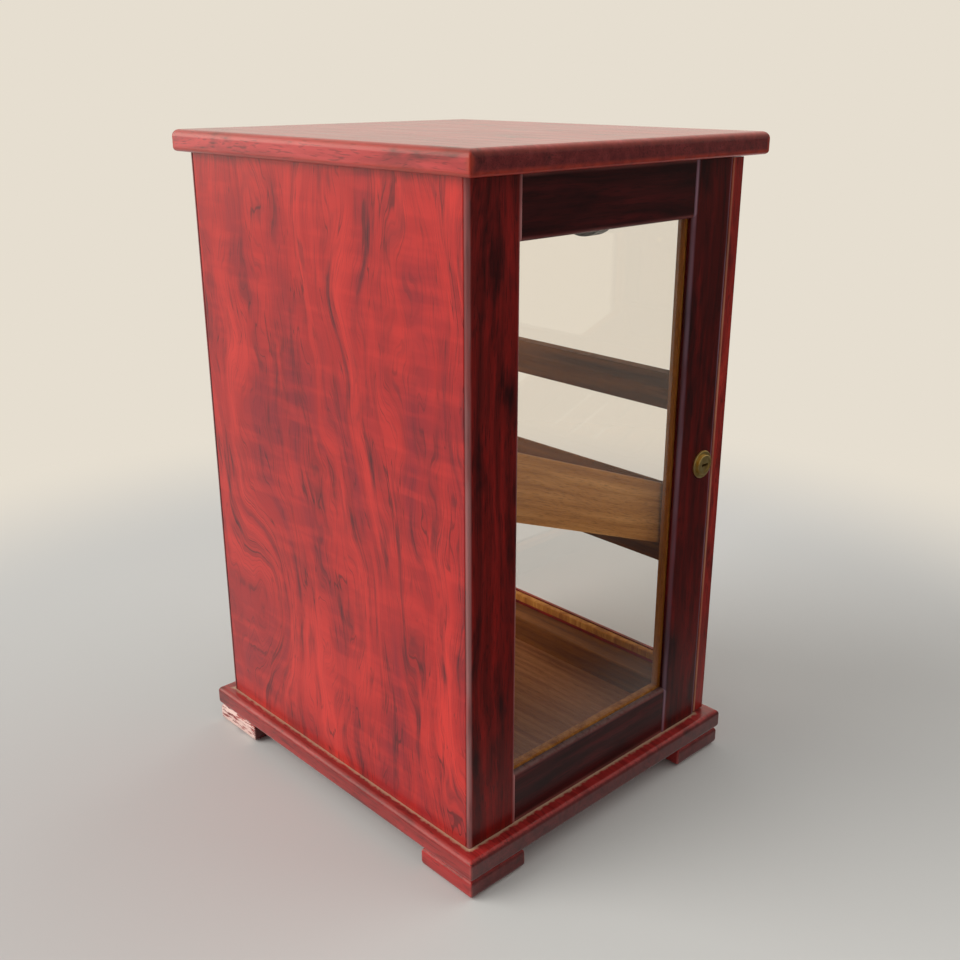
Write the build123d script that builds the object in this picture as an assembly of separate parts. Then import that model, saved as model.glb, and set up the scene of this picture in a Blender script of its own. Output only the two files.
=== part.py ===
from build123d import *
from math import cos, radians, sin, tan
import os

# Cigar humidor display cabinet: a veneered back, glazed sides, a glazed door and a tilted cedar tray.
# Millimetres. +Z is up, the door faces -Y, its hinges are at +X and the lock is in the left side at -X.
# The origin is on the ground, under the middle of the cabinet.

# Body of the cabinet
BODY_WIDTH = 306.0
CARCASS_DEPTH = 261.0
BODY_HEIGHT = 459.0
CORNER_EASE = 2.0
JOINT_GAP = 0.1
LINING_GAP = 0.2

# Top slab
SLAB_THICKNESS = 16.0
SLAB_SIDE_OVERHANG = 11.5
SLAB_BACK_OVERHANG = 8.0
SLAB_FRONT_OVERHANG = 13.5
SLAB_CORNER_RADIUS = 1.5
SLAB_TOP_RADIUS = 5.0
SLAB_BOTTOM_RADIUS = 3.0

# Base board
BASE_THICKNESS = 17.0
BASE_SIDE_OVERHANG = 12.5
BASE_BACK_OVERHANG = 10.0
BASE_FRONT_OVERHANG = 7.5
BASE_CORNER_RADIUS = 1.5
BASE_TOP_RADIUS = 4.0
BASE_BOTTOM_RADIUS = 4.0

# Corner feet
FOOT_LENGTH = 54.0
FOOT_HEIGHT = 16.0
FOOT_INSET = 1.0
FOOT_CORNER_RADIUS = 1.5
FOOT_BOTTOM_RADIUS = 5.0
FOOT_TOP_RADIUS = 4.0

# Side frames
SIDE_THICKNESS = 16.0
REAR_STILE_WIDTH = 45.5
FRONT_STILE_WIDTH = 43.0
SIDE_TOP_RAIL_WIDTH = 41.0
SIDE_BOTTOM_RAIL_WIDTH = 41.0
RAIL_SETBACK = 0.4
JOINT_EASE = 0.8
WINDOW_ROUND = 3.5
LIP_THICKNESS = 5.0
GLASS_REBATE = 6.0
GLASS_THICKNESS = 3.0
GLASS_EDGE_CLEARANCE = 1.0
BEAD_EASE = 1.2
TENON_THICKNESS = 5.0
TENON_LENGTH = 8.0
TENON_SHOULDER = 10.0
TENON_INNER_SHOULDER = 5.0
DOWEL_DIAMETER = 6.0
DOWEL_LENGTH = 22.0
DOWEL_END_GAP = 0.5

# Back and linings
BACK_THICKNESS = 9.0
BACK_LIP_WIDTH = 3.0
BACK_PANEL_EASE = 1.0
LINING_THICKNESS = 4.0
CEILING_THICKNESS = 6.0
FLOOR_THICKNESS = 8.0
FRONT_RAIL_DEPTH = 24.0
FRONT_RAIL_HEIGHT = 30.5

# Door
DOOR_GAP = 0.8
DOOR_THICKNESS = 13.0
DOOR_BOTTOM_GAP = 1.5
DOOR_TOP_GAP = 1.5
DOOR_STILE_WIDTH = 38.0
DOOR_TOP_RAIL_WIDTH = 38.0
DOOR_BOTTOM_RAIL_WIDTH = 36.5
DOOR_LIP_THICKNESS = 4.0
DOOR_EASE = 2.0
DOOR_BACK_EASE = 1.2
SEAL_THICKNESS = 0.6
SEAL_WIDTH = 3.5
SEAL_INSET = 0.5

# Hinges
HINGE_HEIGHT = 38.0
HINGE_END_DISTANCE = 60.0
HINGE_LEAF_WIDTH = 10.0
HINGE_LEAF_THICKNESS = 1.2
HINGE_LEAF_GAP = 0.2
HINGE_BARREL_DIAMETER = 5.6
HINGE_BARREL_CLEARANCE = 0.1
HINGE_KNUCKLE_GAP = 0.2
HINGE_PIN_DIAMETER = 2.6
HINGE_PIN_CLEARANCE = 0.05
HINGE_PIN_HEAD_HEIGHT = 1.5
HINGE_SCREW_SPACING = 24.0
HINGE_SCREW_LENGTH = 9.0

# Tray support rails
TRAY_TILT = 21.0
RAIL_FRONT_FACE = 9.0
RAIL_DEPTH = 24.0
RAIL_LEDGE_HEIGHT = 16.0
RAIL_LEDGE_RUN = 10.0
RAIL_LIP_HEIGHT = 12.0
LOWER_RAIL_LEVEL = 146.0
UPPER_RAIL_ABOVE_LOCK = 43.5
REAR_RAIL_DEPTH = 22.0
REAR_RAIL_HEIGHT = 20.0
REAR_RAIL_SCREW_INSET = 40.0
REAR_RAIL_SCREW_LENGTH = 29.0

# Tray
TRAY_SIDE_CLEARANCE = 2.0
TRAY_BACK_GAP = 8.5
TRAY_HEIGHT = 46.5
TRAY_SIDE_THICKNESS = 8.0
TRAY_FRONT_THICKNESS = 10.0
TRAY_BOTTOM_THICKNESS = 5.0
TRAY_BOTTOM_LEVEL = 4.0
TRAY_GROOVE_DEPTH = 3.0
TRAY_SEAT_GAP = 0.2
TRAY_SLOT_COUNT = 8
TRAY_SLOT_WIDTH = 8.0
TRAY_SLOT_MARGIN = 30.0
TRAY_EASE = 1.0

# Lock
LOCK_DISTANCE_FROM_FRONT = 13.5
LOCK_ABOVE_TRAY = 26.7
LOCK_FLANGE_DIAMETER = 22.0
LOCK_FLANGE_THICKNESS = 1.6
LOCK_EASE = 0.8
LOCK_COLLAR_DIAMETER = 16.0
LOCK_COLLAR_HEIGHT = 3.6
LOCK_BARREL_LENGTH = 23.0
LOCK_PLUG_DIAMETER = 11.0
LOCK_PLUG_CLEARANCE = 0.05
LOCK_PLUG_RECESS = 0.3
LOCK_KEYHOLE_LENGTH = 7.5
LOCK_KEYHOLE_WIDTH = 1.8
LOCK_KEYHOLE_DEPTH = 12.0
LOCK_NUT_WIDTH = 21.0
LOCK_NUT_SIDES = 6
LOCK_NUT_THICKNESS = 3.0
LOCK_NUT_RECESS_DIAMETER = 26.0
CAM_REACH = 13.0
CAM_WIDTH = 8.0
CAM_HUB_DIAMETER = 12.0
CAM_THICKNESS = 2.0
CAM_FACE_GAP = 0.3
CAM_SQUARE = 6.0
CAM_SCREW_HEAD_DIAMETER = 7.5
CAM_SCREW_HEAD_HEIGHT = 1.8
CAM_SCREW_EASE = 0.9
CAM_SCREW_DIAMETER = 3.0
CAM_SCREW_LENGTH = 8.0

# Keeper on the door
KEEPER_SHEET = 2.0
KEEPER_WIDTH = 7.0
KEEPER_PLATE_HEIGHT = 18.0
KEEPER_CAM_GAP = 0.5
KEEPER_TIP_GAP = 2.5
KEEPER_OVERLAP = 5.0
KEEPER_SCREW_LEVELS = (7.0, 14.0)
KEEPER_SCREW_LENGTH = 8.0

# Humidifier on the door
HUMIDIFIER_DIAMETER = 61.0
HUMIDIFIER_OFFSET = 19.0
HUMIDIFIER_DEPTH = 14.0
HUMIDIFIER_WALL = 1.6
HUMIDIFIER_TOP_GAP = 6.5
HUMIDIFIER_COVER_THICKNESS = 2.0
HUMIDIFIER_COVER_EASE = 1.0
HUMIDIFIER_COVER_RIM = 3.0
HUMIDIFIER_PAD_GAP = 0.3
HUMIDIFIER_SLOT_COUNT = 7
HUMIDIFIER_SLOT_WIDTH = 2.4
HUMIDIFIER_SCREW_RISE = 12.0
HUMIDIFIER_SCREW_LENGTH = 8.0
HUMIDIFIER_SCREW_WELL = 5.0

# Screws
SCREW_HEAD_DIAMETER = 5.0
SCREW_SHANK_DIAMETER = 2.4
SCREW_TIP_DIAMETER = 0.6
SCREW_SLOT = 0.7
FOOT_SCREW_LENGTH = 24.0
FOOT_SCREW_HEAD_DIAMETER = 8.0
FOOT_SCREW_SHANK_DIAMETER = 4.0
FOOT_SCREW_SINK = 2.0
SCREW_HOLE_CLEARANCE = 0.05

# Planes that the pieces share
x_out = BODY_WIDTH / 2
x_in = x_out - SIDE_THICKNESS
x_lip = x_out - LIP_THICKNESS
x_glass = x_lip - GLASS_THICKNESS
overall_depth = BASE_BACK_OVERHANG + CARCASS_DEPTH + DOOR_GAP + DOOR_THICKNESS + SLAB_FRONT_OVERHANG
y_back = overall_depth / 2 - BASE_BACK_OVERHANG
y_front = y_back - CARCASS_DEPTH
y_door_back = y_front - DOOR_GAP
y_door_front = y_door_back - DOOR_THICKNESS
y_panel = y_back - BACK_THICKNESS
y_lining = y_panel - LINING_THICKNESS
z_body = FOOT_HEIGHT + BASE_THICKNESS
z_top = z_body + BODY_HEIGHT
window_y0 = y_front + FRONT_STILE_WIDTH
window_y1 = y_back - REAR_STILE_WIDTH
window_z0 = z_body + SIDE_BOTTOM_RAIL_WIDTH
window_z1 = z_top - SIDE_TOP_RAIL_WIDTH
door_z0 = z_body + DOOR_BOTTOM_GAP
door_z1 = z_top - DOOR_TOP_GAP
door_window_x = x_out - DOOR_STILE_WIDTH
door_window_z0 = door_z0 + DOOR_BOTTOM_RAIL_WIDTH
door_window_z1 = door_z1 - DOOR_TOP_RAIL_WIDTH
hinge_x = x_out + HINGE_BARREL_CLEARANCE + HINGE_BARREL_DIAMETER / 2
hinge_y = y_front - DOOR_GAP / 2
hinge_levels = (z_body + HINGE_END_DISTANCE, z_top - HINGE_END_DISTANCE)

# Seat of the tray, and the heights that follow from it
tilt = radians(TRAY_TILT)
ledge_y = y_front + RAIL_FRONT_FACE + RAIL_DEPTH
foot_of_ledge_y = ledge_y - RAIL_LEDGE_RUN
ledge_drop = RAIL_LEDGE_RUN * tan(tilt)
lower_rail_z = z_body + LOWER_RAIL_LEVEL
tray_y = foot_of_ledge_y + TRAY_SEAT_GAP * (cos(tilt) - sin(tilt))
tray_z = lower_rail_z + RAIL_LEDGE_HEIGHT - ledge_drop + TRAY_SEAT_GAP * (cos(tilt) + sin(tilt))
lock_y = y_front + LOCK_DISTANCE_FROM_FRONT
lock_z = tray_z + TRAY_HEIGHT * cos(tilt) + LOCK_ABOVE_TRAY
upper_rail_z = lock_z + UPPER_RAIL_ABOVE_LOCK

parts = {}


def block(x0, x1, y0, y1, z0, z1):
    """A box between pairs of coordinates."""
    size = (abs(x1 - x0), abs(y1 - y0), abs(z1 - z0))
    return Pos((x0 + x1) / 2, (y0 + y1) / 2, (z0 + z1) / 2) * Box(*size)


def rod_x(x0, x1, y, z, diameter):
    """A cylinder along X."""
    return Pos((x0 + x1) / 2, y, z) * Rot(0, 90, 0) * Cylinder(diameter / 2, abs(x1 - x0))


def rod_y(x, y0, y1, z, diameter):
    """A cylinder along Y."""
    return Pos(x, (y0 + y1) / 2, z) * Rot(90, 0, 0) * Cylinder(diameter / 2, abs(y1 - y0))


def rod_z(x, y, z0, z1, diameter):
    """A cylinder along Z."""
    return Pos(x, y, (z0 + z1) / 2) * Cylinder(diameter / 2, abs(z1 - z0))


def ease(board, along, side_axis, radius, side=-1):
    """Rounds the edges of a plain board that run along one axis, on one side of it."""
    edges = board.edges().filter_by(along).group_by(side_axis)[side]
    return fillet(edges, radius)


def rounded_board(board, corner, top, bottom):
    """A board with its upper, lower and upright edges rounded."""
    board = fillet(board.faces().sort_by(Axis.Z)[-1].edges(), top)
    board = fillet(board.faces().sort_by(Axis.Z)[0].edges(), bottom)
    return fillet(board.edges().filter_by(Axis.Z), corner)


def rounded_slab(x_half, y0, y1, z0, z1, corner, top, bottom):
    """A board with rounded upper and lower edges, and corners rounded less."""
    return rounded_board(block(-x_half, x_half, y0, y1, z0, z1), corner, top, bottom)


def screw(length, head, shank, clearance=0.0):
    """A countersunk screw that points down, its head flush with Z = 0. With a clearance, its hole."""
    sink = (head - shank) / 2
    radius = shank / 2 + clearance
    point = length - shank
    body = Pos(0, 0, -sink / 2) * Cone(radius, head / 2 + clearance, sink)
    body += Pos(0, 0, -(sink + point) / 2) * Cylinder(radius, point - sink)
    body += Pos(0, 0, -point - shank / 2) * Cone(SCREW_TIP_DIAMETER / 2 + clearance, radius, shank)
    if clearance == 0.0:
        body -= Pos(0, 0, -SCREW_SLOT / 2) * Box(head, SCREW_SLOT, SCREW_SLOT)
    return body


def wood_screws(places, length):
    """The small screws at these places, and the holes for them."""
    made = [place * screw(length, SCREW_HEAD_DIAMETER, SCREW_SHANK_DIAMETER) for place in places]
    holes = [
        place * screw(length, SCREW_HEAD_DIAMETER, SCREW_SHANK_DIAMETER, SCREW_HOLE_CLEARANCE)
        for place in places
    ]
    return made, holes


def drill(board, holes):
    """Takes each hole out of a board."""
    for hole in holes:
        board -= hole
    return board


def both_sides(name, piece):
    """Keeps a piece of the right side, and its mirror image on the left side."""
    parts["right_" + name] = piece
    parts["left_" + name] = mirror(piece, about=Plane.YZ)


def bar(points):
    """A bar across the cabinet, between the side frames, from its outline in Y and Z."""
    outline = Polyline(*[(0, y, z) for y, z in points], close=True)
    return extrude(make_face(outline), amount=x_in, dir=(1, 0, 0), both=True)


# Top slab and base board
slab_y0 = y_door_front - SLAB_FRONT_OVERHANG
top_slab = rounded_slab(
    x_out + SLAB_SIDE_OVERHANG, slab_y0, y_back + SLAB_BACK_OVERHANG, z_top, z_top + SLAB_THICKNESS,
    SLAB_CORNER_RADIUS, SLAB_TOP_RADIUS, SLAB_BOTTOM_RADIUS,
)
base_x = x_out + BASE_SIDE_OVERHANG
base_y0 = y_door_front - BASE_FRONT_OVERHANG
base_y1 = y_back + BASE_BACK_OVERHANG
base_board = rounded_slab(
    base_x, base_y0, base_y1, FOOT_HEIGHT, z_body,
    BASE_CORNER_RADIUS, BASE_TOP_RADIUS, BASE_BOTTOM_RADIUS,
)

# Feet, one under each corner of the base, each with a screw from below
foot_x = base_x - FOOT_INSET - FOOT_LENGTH / 2
foot_rows = {"front": base_y0 + FOOT_INSET + FOOT_LENGTH / 2, "rear": base_y1 - FOOT_INSET - FOOT_LENGTH / 2}
foot_screw_size = (FOOT_SCREW_LENGTH, FOOT_SCREW_HEAD_DIAMETER, FOOT_SCREW_SHANK_DIAMETER)
foot_screws = []
for row, foot_y in foot_rows.items():
    for hand, sign in (("left", -1), ("right", 1)):
        foot = Box(FOOT_LENGTH, FOOT_LENGTH, FOOT_HEIGHT)
        foot = rounded_board(foot, FOOT_CORNER_RADIUS, FOOT_TOP_RADIUS, FOOT_BOTTOM_RADIUS)
        place = Pos(sign * foot_x, foot_y, FOOT_SCREW_SINK) * Rot(180, 0, 0)
        hole = place * screw(*foot_screw_size, SCREW_HOLE_CLEARANCE)
        hole += rod_z(sign * foot_x, foot_y, 0, FOOT_SCREW_SINK, foot_screw_size[1])
        parts[f"foot_{row}_{hand}"] = Pos(sign * foot_x, foot_y, FOOT_HEIGHT / 2) * foot - hole
        base_board -= hole
        foot_screws.append(place * screw(*foot_screw_size))
parts["foot_screws"] = Compound(foot_screws)

# Side frames: stiles run the full height, rails are tenoned between them
tenon_x = (x_in + x_lip) / 2


# The router rounds the arris of all four boards round each window, once its frame is together
routed_frame = block(x_in, x_out, y_front, y_back, z_body, z_top)
routed_frame -= block(x_in, x_out, window_y0, window_y1, window_z0, window_z1)
window_edges = routed_frame.faces().sort_by(Axis.X)[-1].inner_wires()[0].edges()
routed_frame = fillet(window_edges, WINDOW_ROUND)


def side_stile(y0, y1, outer, inner):
    """A stile of the right side, routed, with its outer arris eased, and its inner one less."""
    stile = block(x_in, x_out, y0, y1, z_body, z_top)
    for side, radius in ((outer, CORNER_EASE), (inner, JOINT_EASE)):
        arris = stile.edges().filter_by(Axis.Z).group_by(Axis.Y)[side].sort_by(Axis.X)[-1]
        stile = fillet(arris, radius)
    return stile & routed_frame


def tenon(z0, z1, gap):
    """The tenons of a rail, or with a gap their mortises, at both of its ends."""
    x0 = tenon_x - TENON_THICKNESS / 2 - gap
    x1 = tenon_x + TENON_THICKNESS / 2 + gap
    y0 = window_y0 - TENON_LENGTH - gap
    y1 = window_y1 + TENON_LENGTH + gap
    return block(x0, x1, y0, y1, z0 - gap, z1 + gap)


def glass_rebate():
    """The room that the glass and its beads take, behind the lips of the frame."""
    return block(
        x_in, x_lip, window_y0 - GLASS_REBATE, window_y1 + GLASS_REBATE,
        window_z0 - GLASS_REBATE, window_z1 + GLASS_REBATE,
    )


rail_levels = {"bottom": (z_body, window_z0), "top": (window_z1, z_top)}
tenon_levels = {
    "bottom": (z_body + TENON_SHOULDER, window_z0 - GLASS_REBATE - TENON_INNER_SHOULDER),
    "top": (window_z1 + GLASS_REBATE + TENON_INNER_SHOULDER, z_top - TENON_SHOULDER),
}
front_stile = side_stile(y_front, window_y0, 0, -1) - glass_rebate()
rear_stile = side_stile(window_y1, y_back, -1, 0) - glass_rebate()
rear_stile -= block(x_in, x_out - BACK_LIP_WIDTH, y_panel, y_back, z_body, z_top)
for level in tenon_levels.values():
    front_stile -= tenon(*level, JOINT_GAP)
    rear_stile -= tenon(*level, JOINT_GAP)

for name, (z0, z1) in rail_levels.items():
    rail = block(x_in, x_out - RAIL_SETBACK, window_y0, window_y1, z0, z1)
    rail = ease(rail, Axis.Z, Axis.X, JOINT_EASE) & routed_frame
    both_sides(f"side_{name}_rail", rail - glass_rebate() + tenon(*tenon_levels[name], 0.0))

# Dowels between the stiles and the slab and base
dowels = []
for stile_y in ((y_front + window_y0) / 2, (y_panel + window_y1) / 2):
    for z in (z_body, z_top):
        dowel = rod_z(tenon_x, stile_y, z - DOWEL_LENGTH / 2, z + DOWEL_LENGTH / 2, DOWEL_DIAMETER)
        hole_half = DOWEL_LENGTH / 2 + DOWEL_END_GAP
        hole = rod_z(tenon_x, stile_y, z - hole_half, z + hole_half, DOWEL_DIAMETER + JOINT_GAP)
        front_stile -= hole
        rear_stile -= hole
        for each in (dowel, mirror(dowel, about=Plane.YZ)):
            dowels.append(each)
        for each in (hole, mirror(hole, about=Plane.YZ)):
            top_slab -= each
            base_board -= each
parts["carcass_dowels"] = Compound(dowels)
parts["top_slab"] = top_slab
parts["base_board"] = base_board

# Side glass and its cedar beads
glass_reach = GLASS_REBATE - GLASS_EDGE_CLEARANCE
side_glass = block(
    x_glass, x_lip, window_y0 - glass_reach, window_y1 + glass_reach,
    window_z0 - glass_reach, window_z1 + glass_reach,
)
both_sides("side_glass", side_glass)
bead_z0 = window_z0 - GLASS_REBATE
bead_z1 = window_z1 + GLASS_REBATE
side_bead_boxes = [
    (window_y0 - GLASS_REBATE, window_y0, bead_z0, bead_z1, Axis.Z, Axis.Y, -1),
    (window_y1, window_y1 + GLASS_REBATE, bead_z0, bead_z1, Axis.Z, Axis.Y, 0),
    (window_y0, window_y1, bead_z0, window_z0, Axis.Y, Axis.Z, -1),
    (window_y0, window_y1, window_z1, bead_z1, Axis.Y, Axis.Z, 0),
]
side_beads = [
    ease(block(x_in, x_glass, y0, y1, z0, z1), along, side_axis, BEAD_EASE, side)
    for y0, y1, z0, z1, along, side_axis, side in side_bead_boxes
]
parts["right_side_beads"] = Compound(side_beads)
parts["left_side_beads"] = Compound([mirror(bead, about=Plane.YZ) for bead in side_beads])

# Back panel, let into rebates behind the rear stiles
panel_half = x_out - BACK_LIP_WIDTH - LINING_GAP
back_panel = block(-panel_half, panel_half, y_panel, y_back, z_body, z_top)
back_panel = ease(back_panel, Axis.Z, Axis.Y, BACK_PANEL_EASE)

# Cedar linings and the front rail under the door opening
lining_half = x_in - LINING_GAP
back_lining = block(
    -lining_half, lining_half, y_lining, y_panel, z_body + FLOOR_THICKNESS, z_top - CEILING_THICKNESS,
)
parts["ceiling_lining"] = block(-lining_half, lining_half, y_front, y_panel, z_top - CEILING_THICKNESS, z_top)
front_rail_y = y_front + FRONT_RAIL_DEPTH
parts["floor_lining"] = block(
    -lining_half, lining_half, front_rail_y, y_panel, z_body, z_body + FLOOR_THICKNESS,
)
front_rail = block(-x_in, x_in, y_front, front_rail_y, z_body, z_body + FRONT_RAIL_HEIGHT)
parts["front_bottom_rail"] = ease(front_rail, Axis.X, Axis.Z, CORNER_EASE)

# Tray support rails: a stepped rail at the front of each level, a sloped one at the back
rear_rail_y = y_lining - REAR_RAIL_DEPTH
all_rail_screws = []
for name, z0 in (("lower", lower_rail_z), ("upper", upper_rail_z)):
    foot_of_ledge_z = z0 + RAIL_LEDGE_HEIGHT - ledge_drop
    lip_y = foot_of_ledge_y - RAIL_LIP_HEIGHT * sin(tilt)
    lip_z = foot_of_ledge_z + RAIL_LIP_HEIGHT * cos(tilt)
    parts[f"{name}_front_tray_rail"] = bar([
        (ledge_y, z0), (ledge_y, z0 + RAIL_LEDGE_HEIGHT), (foot_of_ledge_y, foot_of_ledge_z),
        (lip_y, lip_z), (ledge_y - RAIL_DEPTH, lip_z), (ledge_y - RAIL_DEPTH, z0),
    ])
    rear_z = foot_of_ledge_z + (rear_rail_y - foot_of_ledge_y) * tan(tilt)
    rear_rail = bar([
        (rear_rail_y, rear_z - REAR_RAIL_HEIGHT), (rear_rail_y, rear_z),
        (y_lining, rear_z + REAR_RAIL_DEPTH * tan(tilt)), (y_lining, rear_z - REAR_RAIL_HEIGHT),
    ])
    places = [
        Pos(sign * (x_in - REAR_RAIL_SCREW_INSET), rear_rail_y, rear_z - REAR_RAIL_HEIGHT / 2) * Rot(90, 0, 0)
        for sign in (-1, 1)
    ]
    rail_screws, rail_holes = wood_screws(places, REAR_RAIL_SCREW_LENGTH)
    parts[f"{name}_rear_tray_rail"] = drill(rear_rail, rail_holes)
    back_lining = drill(back_lining, rail_holes)
    back_panel = drill(back_panel, rail_holes)
    all_rail_screws += rail_screws
parts["tray_rail_screws"] = Compound(all_rail_screws)
parts["back_lining"] = back_lining
parts["back_panel"] = back_panel

# Tray, built level with its lower front edge at the origin, then tilted into its seat
tray_place = Pos(0, tray_y, tray_z) * Rot(TRAY_TILT, 0, 0)
tray_half = x_in - TRAY_SIDE_CLEARANCE
tray_length = (y_lining - TRAY_BACK_GAP - tray_y) / cos(tilt)
inner_half = tray_half - TRAY_SIDE_THICKNESS
inner_y0 = TRAY_FRONT_THICKNESS
inner_y1 = tray_length - TRAY_SIDE_THICKNESS
floor_top = TRAY_BOTTOM_LEVEL + TRAY_BOTTOM_THICKNESS
tray_bottom = block(
    -inner_half - TRAY_GROOVE_DEPTH, inner_half + TRAY_GROOVE_DEPTH,
    inner_y0 - TRAY_GROOVE_DEPTH, inner_y1 + TRAY_GROOVE_DEPTH, TRAY_BOTTOM_LEVEL, floor_top,
)
groove = offset(tray_bottom, JOINT_GAP, kind=Kind.INTERSECTION)
slot_pitch = (2 * inner_half - 2 * TRAY_SLOT_MARGIN) / (TRAY_SLOT_COUNT - 1)
for index in range(TRAY_SLOT_COUNT):
    slot_x = -inner_half + TRAY_SLOT_MARGIN + index * slot_pitch
    slot = block(
        slot_x - TRAY_SLOT_WIDTH / 2, slot_x + TRAY_SLOT_WIDTH / 2,
        inner_y0 + TRAY_SLOT_MARGIN, inner_y1 - TRAY_SLOT_MARGIN, 0, TRAY_HEIGHT,
    )
    tray_bottom -= slot
tray_boards = {
    "tray_right_side": (inner_half, tray_half, inner_y0, inner_y1, Axis.Y),
    "tray_left_side": (-tray_half, -inner_half, inner_y0, inner_y1, Axis.Y),
    "tray_front": (-tray_half, tray_half, 0, inner_y0, Axis.X),
    "tray_back": (-tray_half, tray_half, inner_y1, tray_length, Axis.X),
}
for name, (x0, x1, y0, y1, along) in tray_boards.items():
    board = ease(block(x0, x1, y0, y1, 0, TRAY_HEIGHT), along, Axis.Z, TRAY_EASE)
    parts[name] = tray_place * (board - groove)
parts["tray_bottom"] = tray_place * tray_bottom

# Door frame
door_lip_y = y_door_front + DOOR_LIP_THICKNESS
door_glass_y = door_lip_y + GLASS_THICKNESS
door_rebate = block(
    -door_window_x - GLASS_REBATE, door_window_x + GLASS_REBATE, door_lip_y, y_door_back,
    door_window_z0 - GLASS_REBATE, door_window_z1 + GLASS_REBATE,
)


def door_board(x0, x1, z0, z1, along):
    """A board of the door, with its front arrises eased."""
    board = block(x0, x1, y_door_front, y_door_back, z0, z1)
    return ease(board, along, Axis.Y, DOOR_EASE, 0)


def door_tenon(z0, z1, gap):
    """The tenons of a door rail, or with a gap their mortises."""
    reach = door_window_x + TENON_LENGTH + gap
    y0 = door_lip_y - gap
    return block(-reach, reach, y0, y0 + GLASS_THICKNESS + 2 * gap, z0 - gap, z1 + gap)


door_tenons = {
    "bottom": (door_z0 + TENON_SHOULDER, door_window_z0 - GLASS_REBATE - TENON_INNER_SHOULDER),
    "top": (door_window_z1 + GLASS_REBATE + TENON_INNER_SHOULDER, door_z1 - TENON_SHOULDER),
}
door_hinge_stile = door_board(door_window_x, x_out, door_z0, door_z1, Axis.Z) - door_rebate
door_lock_stile = door_board(-x_out, -door_window_x, door_z0, door_z1, Axis.Z)
door_lock_stile = ease(door_lock_stile, Axis.Z, Axis.Y, DOOR_BACK_EASE) - door_rebate
for level in door_tenons.values():
    door_hinge_stile -= door_tenon(*level, JOINT_GAP)
    door_lock_stile -= door_tenon(*level, JOINT_GAP)
door_rails = {}
for name, z0, z1 in (("bottom", door_z0, door_window_z0), ("top", door_window_z1, door_z1)):
    rail = door_board(-door_window_x, door_window_x, z0, z1, Axis.X) - door_rebate
    door_rails[name] = rail + door_tenon(*door_tenons[name], 0.0)

# Door glass, beads and seal
door_glass_x = door_window_x + glass_reach
parts["door_glass"] = block(
    -door_glass_x, door_glass_x, door_lip_y, door_glass_y,
    door_window_z0 - glass_reach, door_window_z1 + glass_reach,
)
bead_x = door_window_x + GLASS_REBATE
door_bead_z0 = door_window_z0 - GLASS_REBATE
door_bead_z1 = door_window_z1 + GLASS_REBATE
door_bead_boxes = [
    (-bead_x, -door_window_x, door_bead_z0, door_bead_z1, Axis.Z, Axis.X, -1),
    (door_window_x, bead_x, door_bead_z0, door_bead_z1, Axis.Z, Axis.X, 0),
    (-door_window_x, door_window_x, door_bead_z0, door_window_z0, Axis.X, Axis.Z, -1),
    (-door_window_x, door_window_x, door_window_z1, door_bead_z1, Axis.X, Axis.Z, 0),
]
parts["door_beads"] = Compound([
    ease(block(x0, x1, door_glass_y, y_door_back, z0, z1), along, side_axis, BEAD_EASE, side)
    for x0, x1, z0, z1, along, side_axis, side in door_bead_boxes
])
seal_x = x_in + SEAL_INSET
seal_z0 = z_body + FRONT_RAIL_HEIGHT - CORNER_EASE - SEAL_INSET - SEAL_WIDTH
seal_z1 = door_z1 - SEAL_INSET
seal_y = y_door_back + SEAL_THICKNESS
parts["door_seal"] = Compound([
    block(-seal_x - SEAL_WIDTH, -seal_x, y_door_back, seal_y, seal_z0, seal_z1),
    block(seal_x, seal_x + SEAL_WIDTH, y_door_back, seal_y, seal_z0, seal_z1),
    block(-seal_x, seal_x, y_door_back, seal_y, seal_z0, seal_z0 + SEAL_WIDTH),
    block(-seal_x, seal_x, y_door_back, seal_y, seal_z1 - SEAL_WIDTH, seal_z1),
])

# Butt hinges: one leaf let into the carcass, one into the door, with a loose pin through both
leaf_x1 = x_out - HINGE_BARREL_CLEARANCE
leaf_x0 = x_out - HINGE_LEAF_WIDTH
knuckle = HINGE_HEIGHT / 3
carcass_leaf_y = (hinge_y + HINGE_LEAF_GAP / 2, hinge_y + HINGE_LEAF_GAP / 2 + HINGE_LEAF_THICKNESS)
door_leaf_y = (hinge_y - HINGE_LEAF_GAP / 2 - HINGE_LEAF_THICKNESS, hinge_y - HINGE_LEAF_GAP / 2)
leaf_screw_x = (leaf_x0 + leaf_x1) / 2


def hinge_leaf(z, y0, y1, knuckle_spans):
    """A leaf with its knuckles, which are given as heights above and below the middle of the hinge."""
    leaf = block(leaf_x0, leaf_x1, y0, y1, z - HINGE_HEIGHT / 2, z + HINGE_HEIGHT / 2)
    for low, high in knuckle_spans:
        leaf += block(leaf_x1, hinge_x, y0, y1, z + low, z + high)
        leaf += rod_z(hinge_x, hinge_y, z + low, z + high, HINGE_BARREL_DIAMETER)
    bore = rod_z(
        hinge_x, hinge_y, z - HINGE_HEIGHT, z + HINGE_HEIGHT, HINGE_PIN_DIAMETER + 2 * HINGE_PIN_CLEARANCE,
    )
    return leaf - bore


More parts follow.
